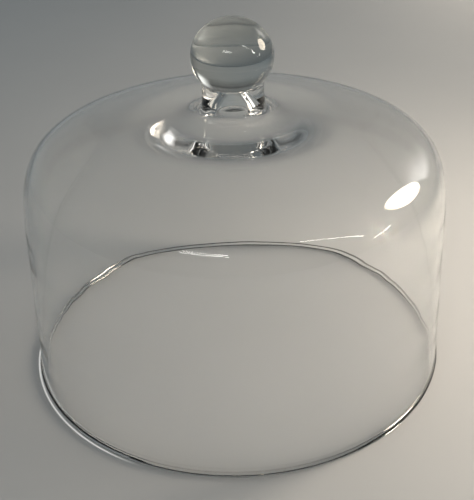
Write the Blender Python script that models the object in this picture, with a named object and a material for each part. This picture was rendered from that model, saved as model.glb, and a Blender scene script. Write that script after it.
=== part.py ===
"""Bell jar dome: a wide, low cover of clear blown glass with a solid ball knob.

Three bodies of glass that were fused while hot, each its own object:
  dome_shell  the blown bell, from its fire-polished lip to the thick boss of its crown
  knob_neck   the short waisted neck on the boss, a thick tube whose bore flares into the bell
  knob_ball   the solid ball that closes the neck and is the handle

Metres, +Z up. The origin is the centre of the lip's foot, where the dome stands.
"""

import math

import bpy

# Turning
SEGMENTS = 72
MERGE = 0.00002  # joins the turned points that lie on the axis
FUSE_GAP = 0.0003  # kept between two bodies where the real glass is fused

# Lip: a bead of glass gathered by the flame, standing out from the wall
RIM_RADIUS = 0.135  # outermost radius of the whole dome
LIP_HALF = 0.0020  # half of the lip's thickness
FOOT_HALF = 0.0012  # half width of the flat ring the dome stands on
BEAD_WIDEST = 0.0016  # height where the bead stands out furthest
BEAD_TOP = 0.0046  # height where the bead has narrowed to the wall
BEAD_TOP_RADIUS = 0.1337
CORNER_STEPS = 3
BEAD_STEPS = 4

# Wall and shoulder, measured on the outside
WALL = 0.0026  # thickness of the blown wall
WALL_TOP_RADIUS = 0.1331
WALL_TOP = 0.0454
WALL_TAPER = 0.0431  # run inwards over rise where the wall turns into the shoulder
SHOULDER_RISE = 0.1245  # how far the wall's own direction carries into the shoulder
CROWN_RUN = 0.1304  # how far the crown's own direction carries out to the shoulder
CROWN_SLOPE = 0.215  # rise over run where the crown comes in to the neck
CROWN_APEX_RADIUS = 0.0195
CROWN_APEX = 0.1717
SHOULDER_STEPS = 16

# Boss: the crown thickens under the neck, because its underside is flatter than its top
BOSS_RADIUS = 0.070  # where the underside leaves the even wall
BOSS_UNDERSIDE = 0.1640  # height of the underside beside the bore's mouth
BOSS_SAG = 0.0060  # how far the underside's curve is pulled down on its way in
FILLET_RADIUS = 0.030  # where the crown starts to sweep up to the neck
FILLET_RUN = 0.0070  # length of the sweep's first handle, along the crown
FILLET_RISE = 0.0040  # length of its last handle, up the neck
FILLET_STEPS = 5
BOSS_REACH = 0.45  # the underside's handles, as a share of its width
BOSS_STEPS = 6

# Bore, from its trumpet mouth in the bell to its round end in the ball
MOUTH_RADIUS = 0.020
BORE_FOOT_RADIUS = 0.0100
BORE_TOP_RADIUS = 0.0045
BORE_END = 0.1845  # where the round end starts
BORE_TOP = 0.1885
TRUMPET_STEPS = 5
END_STEPS = 3

# Neck
NECK_FOOT = 0.1732  # joint between shell and neck
NECK_FOOT_RADIUS = 0.0192
NECK_RADIUS = 0.0185  # just under the ball
NECK_WAIST = 0.0005  # how far the middle is drawn in
NECK_HANDLE = 0.0038  # length of the waist's handles
NECK_TOP = 0.1870  # joint between neck and ball
NECK_TOP_ROUND = 0.0008
NECK_STEPS = 4

# Ball, slightly squashed
BALL_RADIUS = 0.0247
BALL_HALF_HEIGHT = 0.0227
BALL_CENTRE = 0.2030
BALL_STEPS = 14


def cubic(start, start_handle, end_handle, end, count):
    """Points of a cubic curve after its start, up to and with its end."""
    points = []
    for step in range(1, count + 1):
        t = step / count
        u = 1 - t
        weights = (u**3, 3 * u * u * t, 3 * u * t * t, t**3)
        pairs = zip(weights, (start, start_handle, end_handle, end))
        terms = [(w * r, w * z) for w, (r, z) in pairs]
        points.append((sum(r for r, _ in terms), sum(z for _, z in terms)))
    return points


def arc(centre_r, centre_z, radius_r, radius_z, from_deg, to_deg, count):
    """Points along an elliptical arc, both ends included."""
    points = []
    for step in range(count + 1):
        angle = math.radians(from_deg + (to_deg - from_deg) * step / count)
        r = centre_r + radius_r * math.cos(angle)
        z = centre_z + radius_z * math.sin(angle)
        points.append((r, z))
    return points


def unit(run, rise):
    length = math.hypot(run, rise)
    return run / length, rise / length


def ahead(point, direction, distance):
    return point[0] + direction[0] * distance, point[1] + direction[1] * distance


def shoulder():
    """The outside from the top of the wall, round the shoulder and up the crown to the neck."""
    wall_dir = unit(-WALL_TAPER, 1)
    crown_dir = unit(1, -CROWN_SLOPE)
    start = (WALL_TOP_RADIUS, WALL_TOP)
    end = (CROWN_APEX_RADIUS, CROWN_APEX)
    start_handle = ahead(start, wall_dir, SHOULDER_RISE)
    end_handle = ahead(end, crown_dir, CROWN_RUN)
    return [start] + cubic(start, start_handle, end_handle, end, SHOULDER_STEPS)


def inside_of(points, thickness):
    """The same line moved inwards by the glass's thickness."""
    moved = []
    for index, (r, z) in enumerate(points):
        before = points[max(index - 1, 0)]
        after = points[min(index + 1, len(points) - 1)]
        run, rise = unit(after[0] - before[0], after[1] - before[1])
        moved.append((r - rise * thickness, z + run * thickness))
    return moved


def bore_radius(z):
    """Radius of the bore at a height in the neck or in the ball."""
    if z <= BORE_END:
        share = (z - NECK_FOOT) / (BORE_END - NECK_FOOT)
        return BORE_FOOT_RADIUS + (BORE_TOP_RADIUS - BORE_FOOT_RADIUS) * share
    share = (z - BORE_END) / (BORE_TOP - BORE_END)
    return BORE_TOP_RADIUS * math.sqrt(max(0.0, 1 - share * share))


def shell_outline():
    """Closed outline of the bell's glass: down its outside, round the lip and up its inside."""
    joint = NECK_FOOT - FUSE_GAP / 2
    lip_middle = RIM_RADIUS - LIP_HALF
    lip_corner = (LIP_HALF - FOOT_HALF, BEAD_WIDEST)
    outer_corner = arc(lip_middle + FOOT_HALF, BEAD_WIDEST, *lip_corner, -90, 0, CORNER_STEPS)
    inner_corner = arc(lip_middle - FOOT_HALF, BEAD_WIDEST, *lip_corner, 180, 270, CORNER_STEPS)

    widest = outer_corner[-1]
    wall_foot = (BEAD_TOP_RADIUS, BEAD_TOP)
    half_bead = (BEAD_TOP - BEAD_WIDEST) / 2
    over_widest = ahead(widest, (0, 1), half_bead)
    under_wall = ahead(wall_foot, (0, -1), half_bead)
    bead = cubic(widest, over_widest, under_wall, wall_foot, BEAD_STEPS)

    wall = shoulder()
    crown = [p for p in wall if p[0] > FILLET_RADIUS]
    crown_end = crown[-1]
    along = unit(crown_end[0] - crown[-2][0], crown_end[1] - crown[-2][1])
    neck_foot = (NECK_FOOT_RADIUS, joint)
    fillet_rise = ahead(neck_foot, (0, -1), FILLET_RISE)
    fillet = cubic(crown_end, ahead(crown_end, along, FILLET_RUN), fillet_rise, neck_foot, FILLET_STEPS)
    outside = outer_corner + bead + crown + fillet

    wall_inside = [p for p in inside_of([wall_foot] + wall, WALL) if p[0] > BOSS_RADIUS]
    edge = wall_inside[-1]
    along = unit(edge[0] - wall_inside[-2][0], edge[1] - wall_inside[-2][1])
    mouth = (MOUTH_RADIUS, BOSS_UNDERSIDE)
    reach = (edge[0] - MOUTH_RADIUS) * BOSS_REACH
    sagging = (MOUTH_RADIUS + reach, BOSS_UNDERSIDE - BOSS_SAG)
    boss = cubic(edge, ahead(edge, along, reach), sagging, mouth, BOSS_STEPS)

    bore_foot = (BORE_FOOT_RADIUS, joint)
    half_mouth = (MOUTH_RADIUS - BORE_FOOT_RADIUS) / 2
    rising = ahead(bore_foot, (0, -1), half_mouth)
    trumpet = cubic(mouth, ahead(mouth, (-1, 0), half_mouth), rising, bore_foot, TRUMPET_STEPS)
    inside = wall_inside + boss + trumpet

    return outside[::-1] + inner_corner[::-1] + inside


def neck_outline():
    """Closed outline of the neck's tube: down its waist, in along its foot and up its bore."""
    joint = NECK_FOOT + FUSE_GAP / 2
    top = NECK_TOP - FUSE_GAP / 2
    edge_middle = (NECK_RADIUS - NECK_TOP_ROUND, top - NECK_TOP_ROUND)
    edge = arc(*edge_middle, NECK_TOP_ROUND, NECK_TOP_ROUND, 90, 0, CORNER_STEPS)
    foot = (NECK_FOOT_RADIUS, joint)
    upper_handle = (NECK_RADIUS - NECK_WAIST, edge[-1][1] - NECK_HANDLE)
    lower_handle = (NECK_RADIUS - NECK_WAIST, joint + NECK_HANDLE)
    waist = cubic(edge[-1], upper_handle, lower_handle, foot, NECK_STEPS)

    end_rise = (top - BORE_END) / END_STEPS
    heights = [joint] + [BORE_END + end_rise * step for step in range(END_STEPS + 1)]
    return edge + waist + [(bore_radius(z), z) for z in heights]


def ball_outline():
    """Line from the ball's top on the axis, down its side, in along its foot and up to the bore's end."""
    bottom = NECK_TOP + FUSE_GAP / 2
    lowest = math.degrees(math.asin((bottom - BALL_CENTRE) / BALL_HALF_HEIGHT))
    side = arc(0.0, BALL_CENTRE, BALL_RADIUS, BALL_HALF_HEIGHT, 90, lowest, BALL_STEPS)
    side[0] = (0.0, BALL_CENTRE + BALL_HALF_HEIGHT)

    end_rise = (BORE_TOP - bottom) / END_STEPS
    heights = [bottom + end_rise * step for step in range(END_STEPS)]
    return side + [(bore_radius(z), z) for z in heights] + [(0.0, BORE_TOP)]


def clear_glass(name, tint):
    material = bpy.data.materials.new(name)
    material.use_nodes = True
    shader = material.node_tree.nodes["Principled BSDF"]
    shader.inputs["Base Color"].default_value = (*tint, 1.0)
    shader.inputs["Roughness"].default_value = 0.02
    shader.inputs["Metallic"].default_value = 0.0
    shader.inputs["IOR"].default_value = 1.5
    shader.inputs["Transmission Weight"].default_value = 1.0
    return material


def turned(name, outline, is_ring, material):
    """A body turned about Z from an outline in the XZ plane. A ring's outline is a closed loop."""
    mesh = bpy.data.meshes.new(name)
    count = len(outline)
    edges = [(i, i + 1) for i in range(count - 1)]
    if is_ring:
        edges.append((count - 1, 0))
    mesh.from_pydata([(r, 0.0, z) for r, z in outline], edges, [])
    body = bpy.data.objects.new(name, mesh)
    bpy.context.scene.collection.objects.link(body)
    mesh.materials.append(material)

    screw = body.modifiers.new("Turn", "SCREW")
    screw.axis = "Z"
    screw.angle = math.tau
    screw.steps = SEGMENTS
    screw.render_steps = SEGMENTS
    screw.use_merge_vertices = True
    screw.merge_threshold = MERGE
    screw.use_smooth_shade = True
    return body


def main():
    for obj in list(bpy.data.objects):
        bpy.data.objects.remove(obj)

    bell_glass = clear_glass("bell_glass", (0.93, 0.96, 0.95))
    knob_glass = clear_glass("knob_glass", (0.90, 0.93, 0.92))
    turned("dome_shell", shell_outline(), True, bell_glass)
    turned("knob_neck", neck_outline(), True, knob_glass)
    turned("knob_ball", ball_outline(), False, knob_glass)


main()
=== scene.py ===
"""Looks of the bell jar dome: three pieces of clear blown glass on a pale floor.

Each piece is turned from a dense outline. The bell is then made slightly uneven, and the knob leans.
The pieces meet without a gap, and the faces where they are fused don't show.
"""

import math

import bpy
import numpy as np
from mathutils import Matrix, Vector


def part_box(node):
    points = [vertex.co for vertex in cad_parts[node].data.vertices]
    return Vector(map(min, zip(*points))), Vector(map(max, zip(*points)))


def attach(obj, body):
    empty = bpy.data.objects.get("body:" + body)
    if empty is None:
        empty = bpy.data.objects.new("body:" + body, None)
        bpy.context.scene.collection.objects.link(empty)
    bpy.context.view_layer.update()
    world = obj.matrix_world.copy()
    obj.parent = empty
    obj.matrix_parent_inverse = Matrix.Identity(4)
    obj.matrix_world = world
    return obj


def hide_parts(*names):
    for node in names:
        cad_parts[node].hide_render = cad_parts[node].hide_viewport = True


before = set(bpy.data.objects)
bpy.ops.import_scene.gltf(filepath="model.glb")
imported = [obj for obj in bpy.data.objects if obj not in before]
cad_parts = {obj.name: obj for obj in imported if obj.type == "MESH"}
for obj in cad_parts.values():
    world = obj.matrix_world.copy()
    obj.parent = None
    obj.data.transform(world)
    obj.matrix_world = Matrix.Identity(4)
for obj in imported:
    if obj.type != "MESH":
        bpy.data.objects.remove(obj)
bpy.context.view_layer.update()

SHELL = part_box("dome_shell")
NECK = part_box("knob_neck")
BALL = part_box("knob_ball")

# Sizes read from the frame, in metres
RIM_RADIUS = SHELL[1].x
NECK_FOOT = (SHELL[1].z + NECK[0].z) / 2
NECK_TOP = (NECK[1].z + BALL[0].z) / 2
BALL_RADIUS = BALL[1].x
BALL_TOP = BALL[1].z

# Lip
LIP_HALF = 0.0020
FOOT_HALF = 0.0012
INNER_FOOT = 0.0015
INNER_CORNER = 0.0010
BEAD_WIDEST = 0.0016
BEAD_TOP = (0.1337, 0.0046)
LAP_ANGLE = -2.04  # where the ends of the lip's bead were melted together

# Wall, shoulder and crown, on the outside
WALL = 0.0026
WALL_FOOT_HANDLE = (0.1334, 0.030)  # leads the foot of the wall up into the shoulder's curve
SHOULDER = ((0.1331, 0.0454), (0.1277, 0.1697), (0.1469, 0.1443), (0.0195, 0.1717))

# Boss, bore and neck
FILLET_RADIUS = 0.030
FILLET_RUN = 0.0070
FILLET_RISE = 0.0040
NECK_FOOT_RADIUS = 0.0192
NECK_RADIUS = 0.0186
NECK_HANDLE = 0.0035  # length of the waist's handles
NECK_TOP_ROUND = (0.0009, 0.0007)  # radii of the neck's rounded top edge
BOSS_RADIUS = 0.070
BOSS_SAG = 0.0060
BOSS_REACH = 0.45  # the handles of the boss's underside, as a share of its width
MOUTH = (0.020, 0.1640)
BORE_FOOT_RADIUS = 0.0100
BORE_TOP_RADIUS = 0.0045
BORE_END = 0.1845
BORE_TOP = 0.1885
BALL_HALF_HEIGHT = 0.0227
KNOB_LEAN = 0.0008  # how far the neck and the ball sit off the bell's axis
LEAN_FROM = 0.150  # height where the crown starts to follow them

# Handmade unevenness
OUTER_RIPPLE = 0.00012
INNER_RIPPLE = 0.00010
FINE_RIPPLE = 0.00002
DRAWN_IN = 0.0001  # keeps the rippled wall inside the size of the plain one
LAP_STEP = 0.22  # share of the bead's width that is lost past the lap

# The lip's shade, and the line of light beside it on the floor
LIP_SHADE = 0.58  # share of a lamp's light that the bead lets through
GATHERED_OFF = 0.0009  # from the lip to the middle of the line
GATHERED_HALF = 0.0009  # half the line's width
GATHERED_GLOW = 0.55

SEGMENTS = 256


# ---------------------------------------------------------------- outlines

def cubic(p0, p1, p2, p3, count):
    t = np.linspace(0, 1, count + 1)[:, None]
    p0, p1, p2, p3 = (np.array(p, float) for p in (p0, p1, p2, p3))
    return (1 - t) ** 3 * p0 + 3 * (1 - t) ** 2 * t * p1 + 3 * (1 - t) * t * t * p2 + t**3 * p3


def arc(centre_r, centre_z, radius_r, radius_z, from_deg, to_deg, count):
    a = np.radians(np.linspace(from_deg, to_deg, count + 1))
    return np.stack([centre_r + radius_r * np.cos(a), centre_z + radius_z * np.sin(a)], 1)


def joined(*lines):
    """One line from several, without the points that two of them share."""
    points = [lines[0]]
    for line in lines[1:]:
        same = np.linalg.norm(line[0] - points[-1][-1]) < 1e-7
        points.append(line[1:] if same else line)
    return np.concatenate(points)


def direction(line):
    step = line[-1] - line[-2]
    return step / np.linalg.norm(step)


def inside_of(line, thickness):
    step = np.gradient(line, axis=0)
    step /= np.linalg.norm(step, axis=1)[:, None]
    return line + np.stack([-step[:, 1], step[:, 0]], 1) * thickness


def bore_radius(z):
    share = np.clip((z - NECK_FOOT) / (BORE_END - NECK_FOOT), 0, 1)
    straight = BORE_FOOT_RADIUS + (BORE_TOP_RADIUS - BORE_FOOT_RADIUS) * share
    share = np.clip((z - BORE_END) / (BORE_TOP - BORE_END), 0, 1)
    return straight * np.sqrt(1 - share**2)


def bell_outside():
    middle = RIM_RADIUS - LIP_HALF
    corner = arc(middle + FOOT_HALF, BEAD_WIDEST, LIP_HALF - FOOT_HALF, BEAD_WIDEST, -90, 0, 10)
    half = (BEAD_TOP[1] - BEAD_WIDEST) / 2
    bead = cubic(corner[-1], corner[-1] + (0, half), (BEAD_TOP[0], BEAD_TOP[1] - half), BEAD_TOP, 12)
    wall_foot = cubic(BEAD_TOP, (BEAD_TOP[0] - 0.0001, 0.012), WALL_FOOT_HANDLE, SHOULDER[0], 14)
    crown = cubic(*SHOULDER, 130)
    crown = crown[crown[:, 0] > FILLET_RADIUS]
    foot = np.array((NECK_FOOT_RADIUS, NECK_FOOT))
    fillet = cubic(crown[-1], crown[-1] + direction(crown) * FILLET_RUN, foot - (0, FILLET_RISE), foot, 30)
    return joined(corner, bead, wall_foot, crown, fillet)


def bell_inside():
    middle = RIM_RADIUS - LIP_HALF
    corner = arc(middle - INNER_FOOT, INNER_CORNER, LIP_HALF - INNER_FOOT, INNER_CORNER, 270, 180, 8)
    start = np.array(BEAD_TOP)
    wall_foot = cubic(start, start + (-0.0001, 0.005), WALL_FOOT_HANDLE, SHOULDER[0], 14)
    wall = inside_of(joined(wall_foot, cubic(*SHOULDER, 130)), WALL)
    wall = wall[wall[:, 0] > BOSS_RADIUS]
    reach = (wall[-1, 0] - MOUTH[0]) * BOSS_REACH
    sagging = (MOUTH[0] + reach, MOUTH[1] - BOSS_SAG)
    boss = cubic(wall[-1], wall[-1] + direction(wall) * reach, sagging, MOUTH, 36)
    half = (MOUTH[0] - BORE_FOOT_RADIUS) / 2
    foot = np.array((BORE_FOOT_RADIUS, NECK_FOOT))
    trumpet = cubic(MOUTH, (MOUTH[0] - half, MOUTH[1]), foot - (0, half), foot, 16)
    return joined(corner, wall, boss, trumpet)


def neck_outside():
    foot = np.array((NECK_FOOT_RADIUS, NECK_FOOT))
    round_r, round_z = NECK_TOP_ROUND
    edge = arc(NECK_RADIUS - round_r, NECK_TOP - round_z, round_r, round_z, 0, 90, 8)
    waist = cubic(foot, foot + (-0.0003, NECK_HANDLE), edge[0] + (-0.0004, -NECK_HANDLE), edge[0], 24)
    return joined(waist, edge)


def neck_inside():
    z = np.concatenate([np.linspace(NECK_FOOT, BORE_END, 18), np.linspace(BORE_END, NECK_TOP, 9)[1:]])
    return np.stack([bore_radius(z), z], 1)


def ball_outside():
    centre = BALL_TOP - BALL_HALF_HEIGHT
    low = math.degrees(math.asin((NECK_TOP - centre) / BALL_HALF_HEIGHT))
    side = arc(0, centre, BALL_RADIUS, BALL_HALF_HEIGHT, low, 90, 80)
    side[-1, 0] = 0
    return side


def ball_recess():
    a = np.linspace(math.asin((NECK_TOP - BORE_END) / (BORE_TOP - BORE_END)), math.pi / 2, 10)
    line = np.stack([BORE_TOP_RADIUS * np.cos(a), BORE_END + (BORE_TOP - BORE_END) * np.sin(a)], 1)
    line[-1, 0] = 0
    return line


# ---------------------------------------------------------------- handmade unevenness

WAVES = np.random.default_rng(7).uniform(0, math.tau, (12, 2))


def ripple(angle, z, pitch, phase_at):
    """A smooth random field from -1 to 1 over angle and height. pitch is the height of a wave, in metres."""
    total = 0
    for k in range(6):
        phase = WAVES[(k + phase_at) % 12]
        lobes = k + 2
        twist = np.sin(math.tau * z / pitch * (0.6 + 0.2 * k) + phase[1])
        total = total + np.sin(lobes * angle + phase[0] + twist)
    return total / 6


def bead_share(angle):
    """How much of its full width the bead keeps round the rim: it steps down past the lap and creeps back."""
    past = np.mod(angle - LAP_ANGLE, math.tau) / math.tau
    step = np.clip(past / 0.008, 0, 1)
    return 1 - LAP_STEP * step * np.clip((0.75 - past) / 0.25, 0, 1) - 0.03 * (1 + np.sin(9 * angle)) * step


def uneven(r, z, angle, inner):
    """The radius of a point, moved as handwork leaves it. The ripples fade at the lip and at the neck."""
    height = z / NECK_FOOT
    wall = np.clip(height / 0.15, 0, 1) * np.clip((1.02 - height) / 0.1, 0, 1)
    move = OUTER_RIPPLE * ripple(angle, z, 0.09, 0)
    if inner:
        move = move + INNER_RIPPLE * ripple(angle, z, 0.045, 5) + FINE_RIPPLE * ripple(3 * angle, z, 0.018, 3)
    elif z < BEAD_TOP[1] and r > BEAD_TOP[0]:
        r = BEAD_TOP[0] + (r - BEAD_TOP[0]) * bead_share(angle)
    return r + wall * (move - DRAWN_IN)


def placed(r, z, angle, inner):
    r = uneven(r, z, angle, inner)
    rise = np.clip((z - LEAN_FROM) / (NECK_FOOT - LEAN_FROM), 0, 1)
    lean = KNOB_LEAN * rise * rise * (3 - 2 * rise)
    return np.stack([r * np.cos(angle) + lean, r * np.sin(angle), z + 0 * angle], -1)


# ---------------------------------------------------------------- meshes

def turned(name, lines, inner, fused_after, closed):
    """A closed mesh turned from lines that follow each other. Between line i and the next, if i is in
    fused_after, lies a face where two pieces are fused, which takes the second material."""
    angle = np.arange(SEGMENTS) * math.tau / SEGMENTS
    rings, verts, count, bands = [], [], 0, []
    for index, line in enumerate(lines):
        for step, (r, z) in enumerate(line):
            if step == 0 and index and np.linalg.norm(np.array((r, z)) - lines[index - 1][-1]) < 1e-7:
                continue
            bands.append(1 if step == 0 and index and (index - 1) in fused_after else 0)
            if r == 0:
                rings.append([count])
                verts.append(placed(np.zeros(1), z, np.zeros(1), inner[index]))
                count += 1
            else:
                rings.append(list(range(count, count + SEGMENTS)))
                verts.append(placed(r, z, angle, inner[index]))
                count += SEGMENTS
    if closed:
        bands[0] = 1 if len(lines) - 1 in fused_after else 0
    faces, slots = [], []
    pairs = [(i - 1, i) for i in range(0 if closed else 1, len(rings))]
    for before, after in pairs:
        a, b = rings[before], rings[after]
        for k in range(SEGMENTS):
            n = (k + 1) % SEGMENTS
            if len(a) == 1:
                faces.append((a[0], b[k], b[n]))
            elif len(b) == 1:
                faces.append((a[n], a[k], b[0]))
            else:
                faces.append((a[n], a[k], b[k], b[n]))
            slots.append(bands[after])
    mesh = bpy.data.meshes.new(name)
    mesh.from_pydata(np.concatenate(verts).tolist(), [], [f[::-1] for f in faces])
    mesh.polygons.foreach_set("material_index", slots)
    mesh.shade_smooth()
    mesh.set_sharp_from_angle(angle=math.radians(45))
    mesh.update()
    piece = bpy.data.objects.new(name, mesh)
    bpy.context.scene.collection.objects.link(piece)
    return piece


# ---------------------------------------------------------------- materials

def nodes_of(name):
    material = bpy.data.materials.new(name)
    material.use_nodes = True
    return material, material.node_tree, material.node_tree.nodes["Principled BSDF"]


def clear_glass(name, light, dark, cord_height, deep):
    """Clear glass with faint cords, a breath of tint that comes and goes, and a slightly uneven polish.
    Its tint deepens to that of deep where the glass is thickest, above deep's two heights."""
    material, tree, shader = nodes_of(name)
    new, link = tree.nodes.new, tree.links.new
    place = new("ShaderNodeTexCoord")

    tint = new("ShaderNodeTexNoise")
    tint.inputs["Scale"].default_value = 14
    tint.inputs["Detail"].default_value = 3
    link(place.outputs["Object"], tint.inputs["Vector"])
    mix = new("ShaderNodeMix")
    mix.data_type = "RGBA"
    mix.inputs[6].default_value = (*light, 1)
    mix.inputs[7].default_value = (*dark, 1)
    link(tint.outputs["Fac"], mix.inputs[0])
    deep_tint, thick_from, thick_to = deep
    height = new("ShaderNodeSeparateXYZ")
    link(place.outputs["Object"], height.inputs[0])
    thick = new("ShaderNodeMapRange")
    thick.inputs["From Min"].default_value = thick_from
    thick.inputs["From Max"].default_value = thick_to
    link(height.outputs["Z"], thick.inputs["Value"])
    deepened = new("ShaderNodeMix")
    deepened.data_type = "RGBA"
    deepened.inputs[7].default_value = (*deep_tint, 1)
    link(thick.outputs["Result"], deepened.inputs[0])
    link(mix.outputs[2], deepened.inputs[6])
    link(deepened.outputs[2], shader.inputs["Base Color"])

    squeeze = new("ShaderNodeMapping")
    squeeze.inputs["Scale"].default_value = (1, 1, 0.35)
    link(place.outputs["Object"], squeeze.inputs["Vector"])
    cords = new("ShaderNodeTexNoise")
    cords.inputs["Scale"].default_value = 60
    cords.inputs["Detail"].default_value = 2
    link(squeeze.outputs["Vector"], cords.inputs["Vector"])
    bump = new("ShaderNodeBump")
    bump.inputs["Strength"].default_value = 0.5
    bump.inputs["Distance"].default_value = cord_height
    link(cords.outputs["Fac"], bump.inputs["Height"])
    link(bump.outputs["Normal"], shader.inputs["Normal"])

    polish = new("ShaderNodeTexNoise")
    polish.inputs["Scale"].default_value = 35
    polish.inputs["Detail"].default_value = 4
    link(place.outputs["Object"], polish.inputs["Vector"])
    rough = new("ShaderNodeMapRange")
    rough.inputs["From Min"].default_value = 0.55
    rough.inputs["From Max"].default_value = 0.8
    rough.inputs["To Min"].default_value = 0.0
    rough.inputs["To Max"].default_value = 0.02
    link(polish.outputs["Fac"], rough.inputs["Value"])
    link(rough.outputs["Result"], shader.inputs["Roughness"])

    shader.inputs["IOR"].default_value = 1.5
    shader.inputs["Transmission Weight"].default_value = 1.0

    # Lamps shine through the wall, less so where they graze it, and least through the lip's bead.
    facing = new("ShaderNodeLayerWeight")
    grazing = new("ShaderNodeMath")
    grazing.operation = "POWER"
    grazing.inputs[1].default_value = 5
    link(facing.outputs["Facing"], grazing.inputs[0])
    passed = new("ShaderNodeMapRange")
    passed.inputs["To Min"].default_value = 0.96
    passed.inputs["To Max"].default_value = 0.0
    link(grazing.outputs[0], passed.inputs["Value"])
    spread = new("ShaderNodeMapRange")
    spread.inputs["From Min"].default_value = BEAD_TOP[1]
    spread.inputs["From Max"].default_value = BEAD_TOP[1] * 1.5
    spread.inputs["To Min"].default_value = LIP_SHADE
    link(height.outputs["Z"], spread.inputs["Value"])
    let_in = new("ShaderNodeMath")
    let_in.operation = "MULTIPLY"
    link(passed.outputs["Result"], let_in.inputs[0])
    link(spread.outputs["Result"], let_in.inputs[1])
    through = new("ShaderNodeBsdfTransparent")
    link(let_in.outputs[0], through.inputs["Color"])
    path = new("ShaderNodeLightPath")
    either = new("ShaderNodeMixShader")
    link(path.outputs["Is Shadow Ray"], either.inputs[0])
    link(shader.outputs[0], either.inputs[1])
    link(through.outputs[0], either.inputs[2])
    link(either.outputs[0], tree.nodes["Material Output"].inputs["Surface"])
    return material


def fused_joint():
    material, _, shader = nodes_of("fused_joint")
    shader.inputs["Alpha"].default_value = 0.0
    return material


def pale_paper():
    material, tree, shader = nodes_of("pale_paper")
    new, link = tree.nodes.new, tree.links.new
    place = new("ShaderNodeTexCoord")
    grain = new("ShaderNodeTexNoise")
    grain.inputs["Scale"].default_value = 9
    grain.inputs["Detail"].default_value = 6
    link(place.outputs["Object"], grain.inputs["Vector"])
    mix = new("ShaderNodeMix")
    mix.data_type = "RGBA"
    mix.inputs[6].default_value = (0.50, 0.50, 0.51, 1)
    mix.inputs[7].default_value = (0.54, 0.54, 0.55, 1)
    link(grain.outputs["Fac"], mix.inputs[0])
    link(mix.outputs[2], shader.inputs["Base Color"])
    shader.inputs["Roughness"].default_value = 0.8

    # A glowing line on the floor stands in for the desk lamp's light, which the lip gathers on its far side.
    flat = new("ShaderNodeVectorMath")
    flat.operation = "MULTIPLY"
    flat.inputs[1].default_value = (1, 1, 0)
    link(place.outputs["Object"], flat.inputs[0])
    length = new("ShaderNodeVectorMath")
    length.operation = "LENGTH"
    link(flat.outputs[0], length.inputs[0])
    offset = new("ShaderNodeMath")
    offset.operation = "SUBTRACT"
    offset.inputs[1].default_value = RIM_RADIUS + GATHERED_OFF
    link(length.outputs["Value"], offset.inputs[0])
    either_side = new("ShaderNodeMath")
    either_side.operation = "ABSOLUTE"
    link(offset.outputs[0], either_side.inputs[0])
    line = new("ShaderNodeMapRange")
    line.interpolation_type = "SMOOTHSTEP"
    line.inputs["From Min"].default_value = GATHERED_HALF
    line.inputs["From Max"].default_value = 0
    link(either_side.outputs[0], line.inputs["Value"])
    away = new("ShaderNodeVectorMath")
    away.operation = "DOT_PRODUCT"
    away.inputs[1].default_value = (-0.89, -0.46, 0)
    link(flat.outputs[0], away.inputs[0])
    side = new("ShaderNodeMapRange")
    side.interpolation_type = "SMOOTHSTEP"
    side.inputs["From Min"].default_value = RIM_RADIUS * 0.78
    side.inputs["From Max"].default_value = RIM_RADIUS * 0.94
    link(away.outputs["Value"], side.inputs["Value"])
    gathered = new("ShaderNodeMath")
    gathered.operation = "MULTIPLY"
    link(line.outputs["Result"], gathered.inputs[0])
    link(side.outputs["Result"], gathered.inputs[1])
    glow = new("ShaderNodeMath")
    glow.operation = "MULTIPLY"
    glow.inputs[1].default_value = GATHERED_GLOW
    link(gathered.outputs[0], glow.inputs[0])
    link(glow.outputs[0], shader.inputs["Emission Strength"])
    shader.inputs["Emission Color"].default_value = (1.0, 0.99, 0.95, 1)
    return material


# ---------------------------------------------------------------- the object

in_the_crown = ((0.895, 0.90, 0.905), NECK_FOOT - 0.032, NECK_FOOT - 0.010)
in_the_ball = ((0.64, 0.67, 0.66), NECK_TOP - 0.002, NECK_TOP + 0.006)
bell_glass = clear_glass("bell_glass", (0.998, 1.0, 0.998), (0.985, 0.995, 0.99), 0.00003, in_the_crown)
knob_glass = clear_glass("knob_glass", (0.995, 0.998, 0.995), (0.95, 0.97, 0.96), 0.00002, in_the_ball)
joint = fused_joint()

bell = turned("bell", [bell_outside(), bell_inside()[::-1]], [False, True], {0}, True)
neck = turned("neck", [neck_outside(), neck_inside()[::-1]], [False, False], {0, 1}, True)
ball = turned("ball", [ball_recess()[::-1], ball_outside()], [False, False], {0}, False)

for piece, glass, slot, node in (
    (bell, bell_glass, "bell_glass", "dome_shell"),
    (neck, knob_glass, "knob_glass", "knob_neck"),
    (ball, knob_glass, "knob_glass", "knob_ball"),
):
    piece.data.materials.append(glass)
    piece.data.materials.append(joint)
    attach(piece, "root")
    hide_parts(node)


# ---------------------------------------------------------------- floor, light and camera

def pale_floor(radius, rings, spokes):
    """A round, flat, pale floor. Past its edge the glass mirrors and bends the room."""
    verts, faces = [(0, 0, 0)], []
    for ring in range(1, rings + 1):
        for k in range(spokes):
            a = math.tau * k / spokes
            r = radius * (ring / rings) ** 2
            verts.append((r * math.cos(a), r * math.sin(a), 0))
    for k in range(spokes):
        n = (k + 1) % spokes
        faces.append((0, 1 + k, 1 + n))
        for ring in range(rings - 1):
            base = 1 + ring * spokes
            faces.append((base + k, base + spokes + k, base + spokes + n, base + n))
    mesh = bpy.data.meshes.new("floor")
    mesh.from_pydata(verts, [], faces)
    mesh.shade_smooth()
    floor = bpy.data.objects.new("floor", mesh)
    bpy.context.scene.collection.objects.link(floor)
    floor.location.z = -0.0002
    floor.data.materials.append(pale_paper())


def towards(azimuth, elevation):
    """A unit vector from the object. Azimuth is from +Y towards +X."""
    a, e = math.radians(azimuth), math.radians(elevation)
    return Vector((math.sin(a) * math.cos(e), math.cos(a) * math.cos(e), math.sin(e)))


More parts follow.
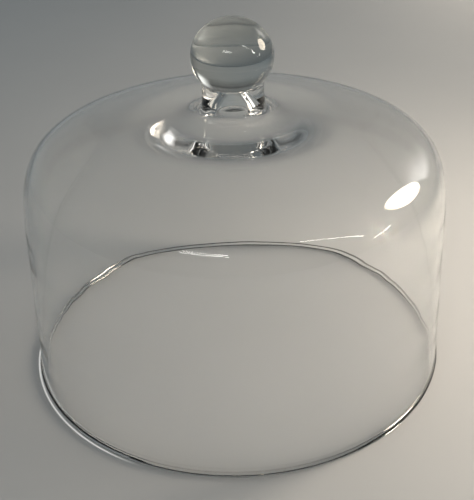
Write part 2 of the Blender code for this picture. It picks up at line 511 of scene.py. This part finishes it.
def area_lamp(name, place, aim, size, radiance, colour, seen):
    """A lamp with the same radiance all over. size is a diameter, or a width and a height."""
    data = bpy.data.lights.new(name, "AREA")
    if isinstance(size, tuple):
        data.shape = "RECTANGLE"
        data.size, data.size_y = size
        area = size[0] * size[1]
    else:
        data.shape = "DISK"
        data.size = size
        area = math.pi * size * size / 4
    data.energy = radiance * math.pi * area
    data.color = colour
    data.cycles.use_multiple_importance_sampling = seen
    light = bpy.data.objects.new(name, data)
    bpy.context.scene.collection.objects.link(light)
    light.location = place
    light.rotation_euler = (Vector(aim) - Vector(place)).to_track_quat("-Z", "Y").to_euler()
    return light


def strip(name, start, end, distance, width, radiance, colour):
    """A thin tube of light between two directions from the knob. It shows only where the glass mirrors it."""
    knob = Vector((0, 0, 0.15))
    first, last = (knob + distance * towards(*d) for d in (start, end))
    middle, along = (first + last) / 2, last - first
    light = area_lamp(name, middle, knob, (along.length, width), radiance, colour, True)
    z = (middle - knob).normalized()
    x = along.normalized()
    y = z.cross(x).normalized()
    x = y.cross(z)
    light.rotation_euler = Matrix((x, y, z)).transposed().to_euler()
    light.visible_diffuse = False
    light.visible_transmission = False


def room():
    """What the glass mirrors and bends round the floor: dim and cool on the left, warm on the right,
    with a paler wall low down behind, a dimmer band above it, and a pale screen that only mirrors show."""
    world = bpy.data.worlds.new("room")
    bpy.context.scene.world = world
    world.use_nodes = True
    world.cycles_visibility.diffuse = False
    tree = world.node_tree
    new, link = tree.nodes.new, tree.links.new
    place = new("ShaderNodeTexCoord")
    parts = new("ShaderNodeSeparateXYZ")
    link(place.outputs["Generated"], parts.inputs[0])
    across = new("ShaderNodeMapRange")
    across.inputs["From Min"].default_value = -1
    across.inputs["From Max"].default_value = 1
    link(parts.outputs["X"], across.inputs["Value"])
    sides = new("ShaderNodeMix")
    sides.data_type = "RGBA"
    sides.inputs[6].default_value = (0.115, 0.135, 0.145, 1)
    sides.inputs[7].default_value = (0.22, 0.21, 0.19, 1)
    link(across.outputs["Result"], sides.inputs[0])
    upward = new("ShaderNodeValToRGB")
    steps = upward.color_ramp.elements
    steps[0].position, steps[0].color = 0.0, (1.6, 1.6, 1.6, 1)
    steps[1].position, steps[1].color = 1.0, (1, 1, 1, 1)
    for height, level in ((0.14, 1.5), (0.24, 1.0), (0.31, 0.9), (0.34, 0.45), (0.38, 0.45), (0.41, 1.0)):
        step = steps.new(height)
        step.color = (level, level, level, 1)
    link(parts.outputs["Z"], upward.inputs[0])
    behind = new("ShaderNodeMapRange")
    behind.inputs["From Min"].default_value = 0.50
    behind.inputs["From Max"].default_value = 0.75
    link(parts.outputs["Y"], behind.inputs["Value"])
    wall = new("ShaderNodeMix")
    wall.data_type = "RGBA"
    wall.inputs[6].default_value = (1, 1, 1, 1)
    link(behind.outputs["Result"], wall.inputs[0])
    link(upward.outputs["Color"], wall.inputs[7])
    both = new("ShaderNodeMix")
    both.data_type = "RGBA"
    both.blend_type = "MULTIPLY"
    both.inputs[0].default_value = 1
    link(sides.outputs[2], both.inputs[6])
    link(wall.outputs[2], both.inputs[7])

    # A pale screen to the right, brighter towards its far edge
    azimuth = new("ShaderNodeMath")
    azimuth.operation = "ARCTAN2"
    link(parts.outputs["X"], azimuth.inputs[0])
    link(parts.outputs["Y"], azimuth.inputs[1])
    masks = []
    for source, lowest, highest in (
        (azimuth.outputs[0], 0.45, 0.84),
        (azimuth.outputs[0], 0.92, 0.87),
        (parts.outputs["Z"], 0.14, 0.30),
        (parts.outputs["Z"], 0.58, 0.42),
    ):
        mask = new("ShaderNodeMapRange")
        mask.interpolation_type = "SMOOTHSTEP"
        mask.inputs["From Min"].default_value = lowest
        mask.inputs["From Max"].default_value = highest
        link(source, mask.inputs["Value"])
        masks.append(mask.outputs["Result"])
    path = new("ShaderNodeLightPath")
    masks.append(path.outputs["Is Glossy Ray"])
    level = masks[0]
    for mask in masks[1:]:
        product = new("ShaderNodeMath")
        product.operation = "MULTIPLY"
        link(level, product.inputs[0])
        link(mask, product.inputs[1])
        level = product.outputs[0]
    screen = new("ShaderNodeMix")
    screen.data_type = "RGBA"
    screen.inputs[7].default_value = (2.3, 2.25, 2.15, 1)
    link(level, screen.inputs[0])
    link(both.outputs[2], screen.inputs[6])
    link(screen.outputs[2], tree.nodes["Background"].inputs["Color"])


def lights():
    """Lamps, of which only the desk lamp's disc is seen in the glass, and tubes that only mirrors show."""
    warm, cool, white = (1.0, 0.87, 0.70), (0.80, 0.94, 1.0), (1.0, 0.98, 0.95)
    desk = (0.44, 0.10, 0.37)
    area_lamp("desk_lamp", desk, (0, 0, 0.08), 0.21, 13, warm, True)
    area_lamp("desk_lamp_glow", desk, (0, 0, 0.08), 0.21, 10, warm, False)
    area_lamp("side_lamp", (0.60, 0.85, 0.30), (0.35, 0.7, 0), 0.3, 7.0, warm, False)
    area_lamp("near_lamp", (0.55, -0.20, 0.30), (0.28, -0.12, 0), 0.3, 5.2, warm, False)
    area_lamp("ceiling", (0, 0, 3.0), (0, 0, 0), (9.0, 9.0), 0.345, cool, False)
    strip("tube_behind", (-149, 37), (-176, 32), 2.0, 0.03, 30, white)
    strip("tube_behind_upper", (-149, 41), (-176, 36), 2.0, 0.03, 30, white)
    strip("tube_right", (137, 51), (113, 19), 2.0, 0.035, 30, white)
    strip("tube_low", (110, 7), (97, 11), 2.0, 0.03, 30, white)


def camera():
    data = bpy.data.cameras.new("camera")
    data.lens = 68.4
    data.sensor_width = 36
    eye = bpy.data.objects.new("camera", data)
    bpy.context.scene.collection.objects.link(eye)
    turn = Matrix.Rotation(math.radians(-0.07), 4, "Z")
    pitch = Matrix.Rotation(math.radians(58.94), 4, "X")
    roll = Matrix.Rotation(math.radians(-1.5), 4, "Z")
    eye.matrix_world = Matrix.Translation((0, -0.53237, 0.39149)) @ turn @ pitch @ roll
    bpy.context.scene.camera = eye


def light_paths():
    """Light goes round inside the thick glass of the knob many times before it leaves."""
    paths = bpy.context.scene.cycles
    paths.max_bounces = 32
    paths.transmission_bounces = 32
    paths.glossy_bounces = 12
    paths.transparent_max_bounces = 24
    paths.caustics_reflective = False  # lamps already reach the floor through the glass's Transparent side
    paths.caustics_refractive = False
    bpy.context.scene.view_settings.view_transform = "Standard"


pale_floor(1.5, 24, 96)
room()
lights()
camera()
light_paths()
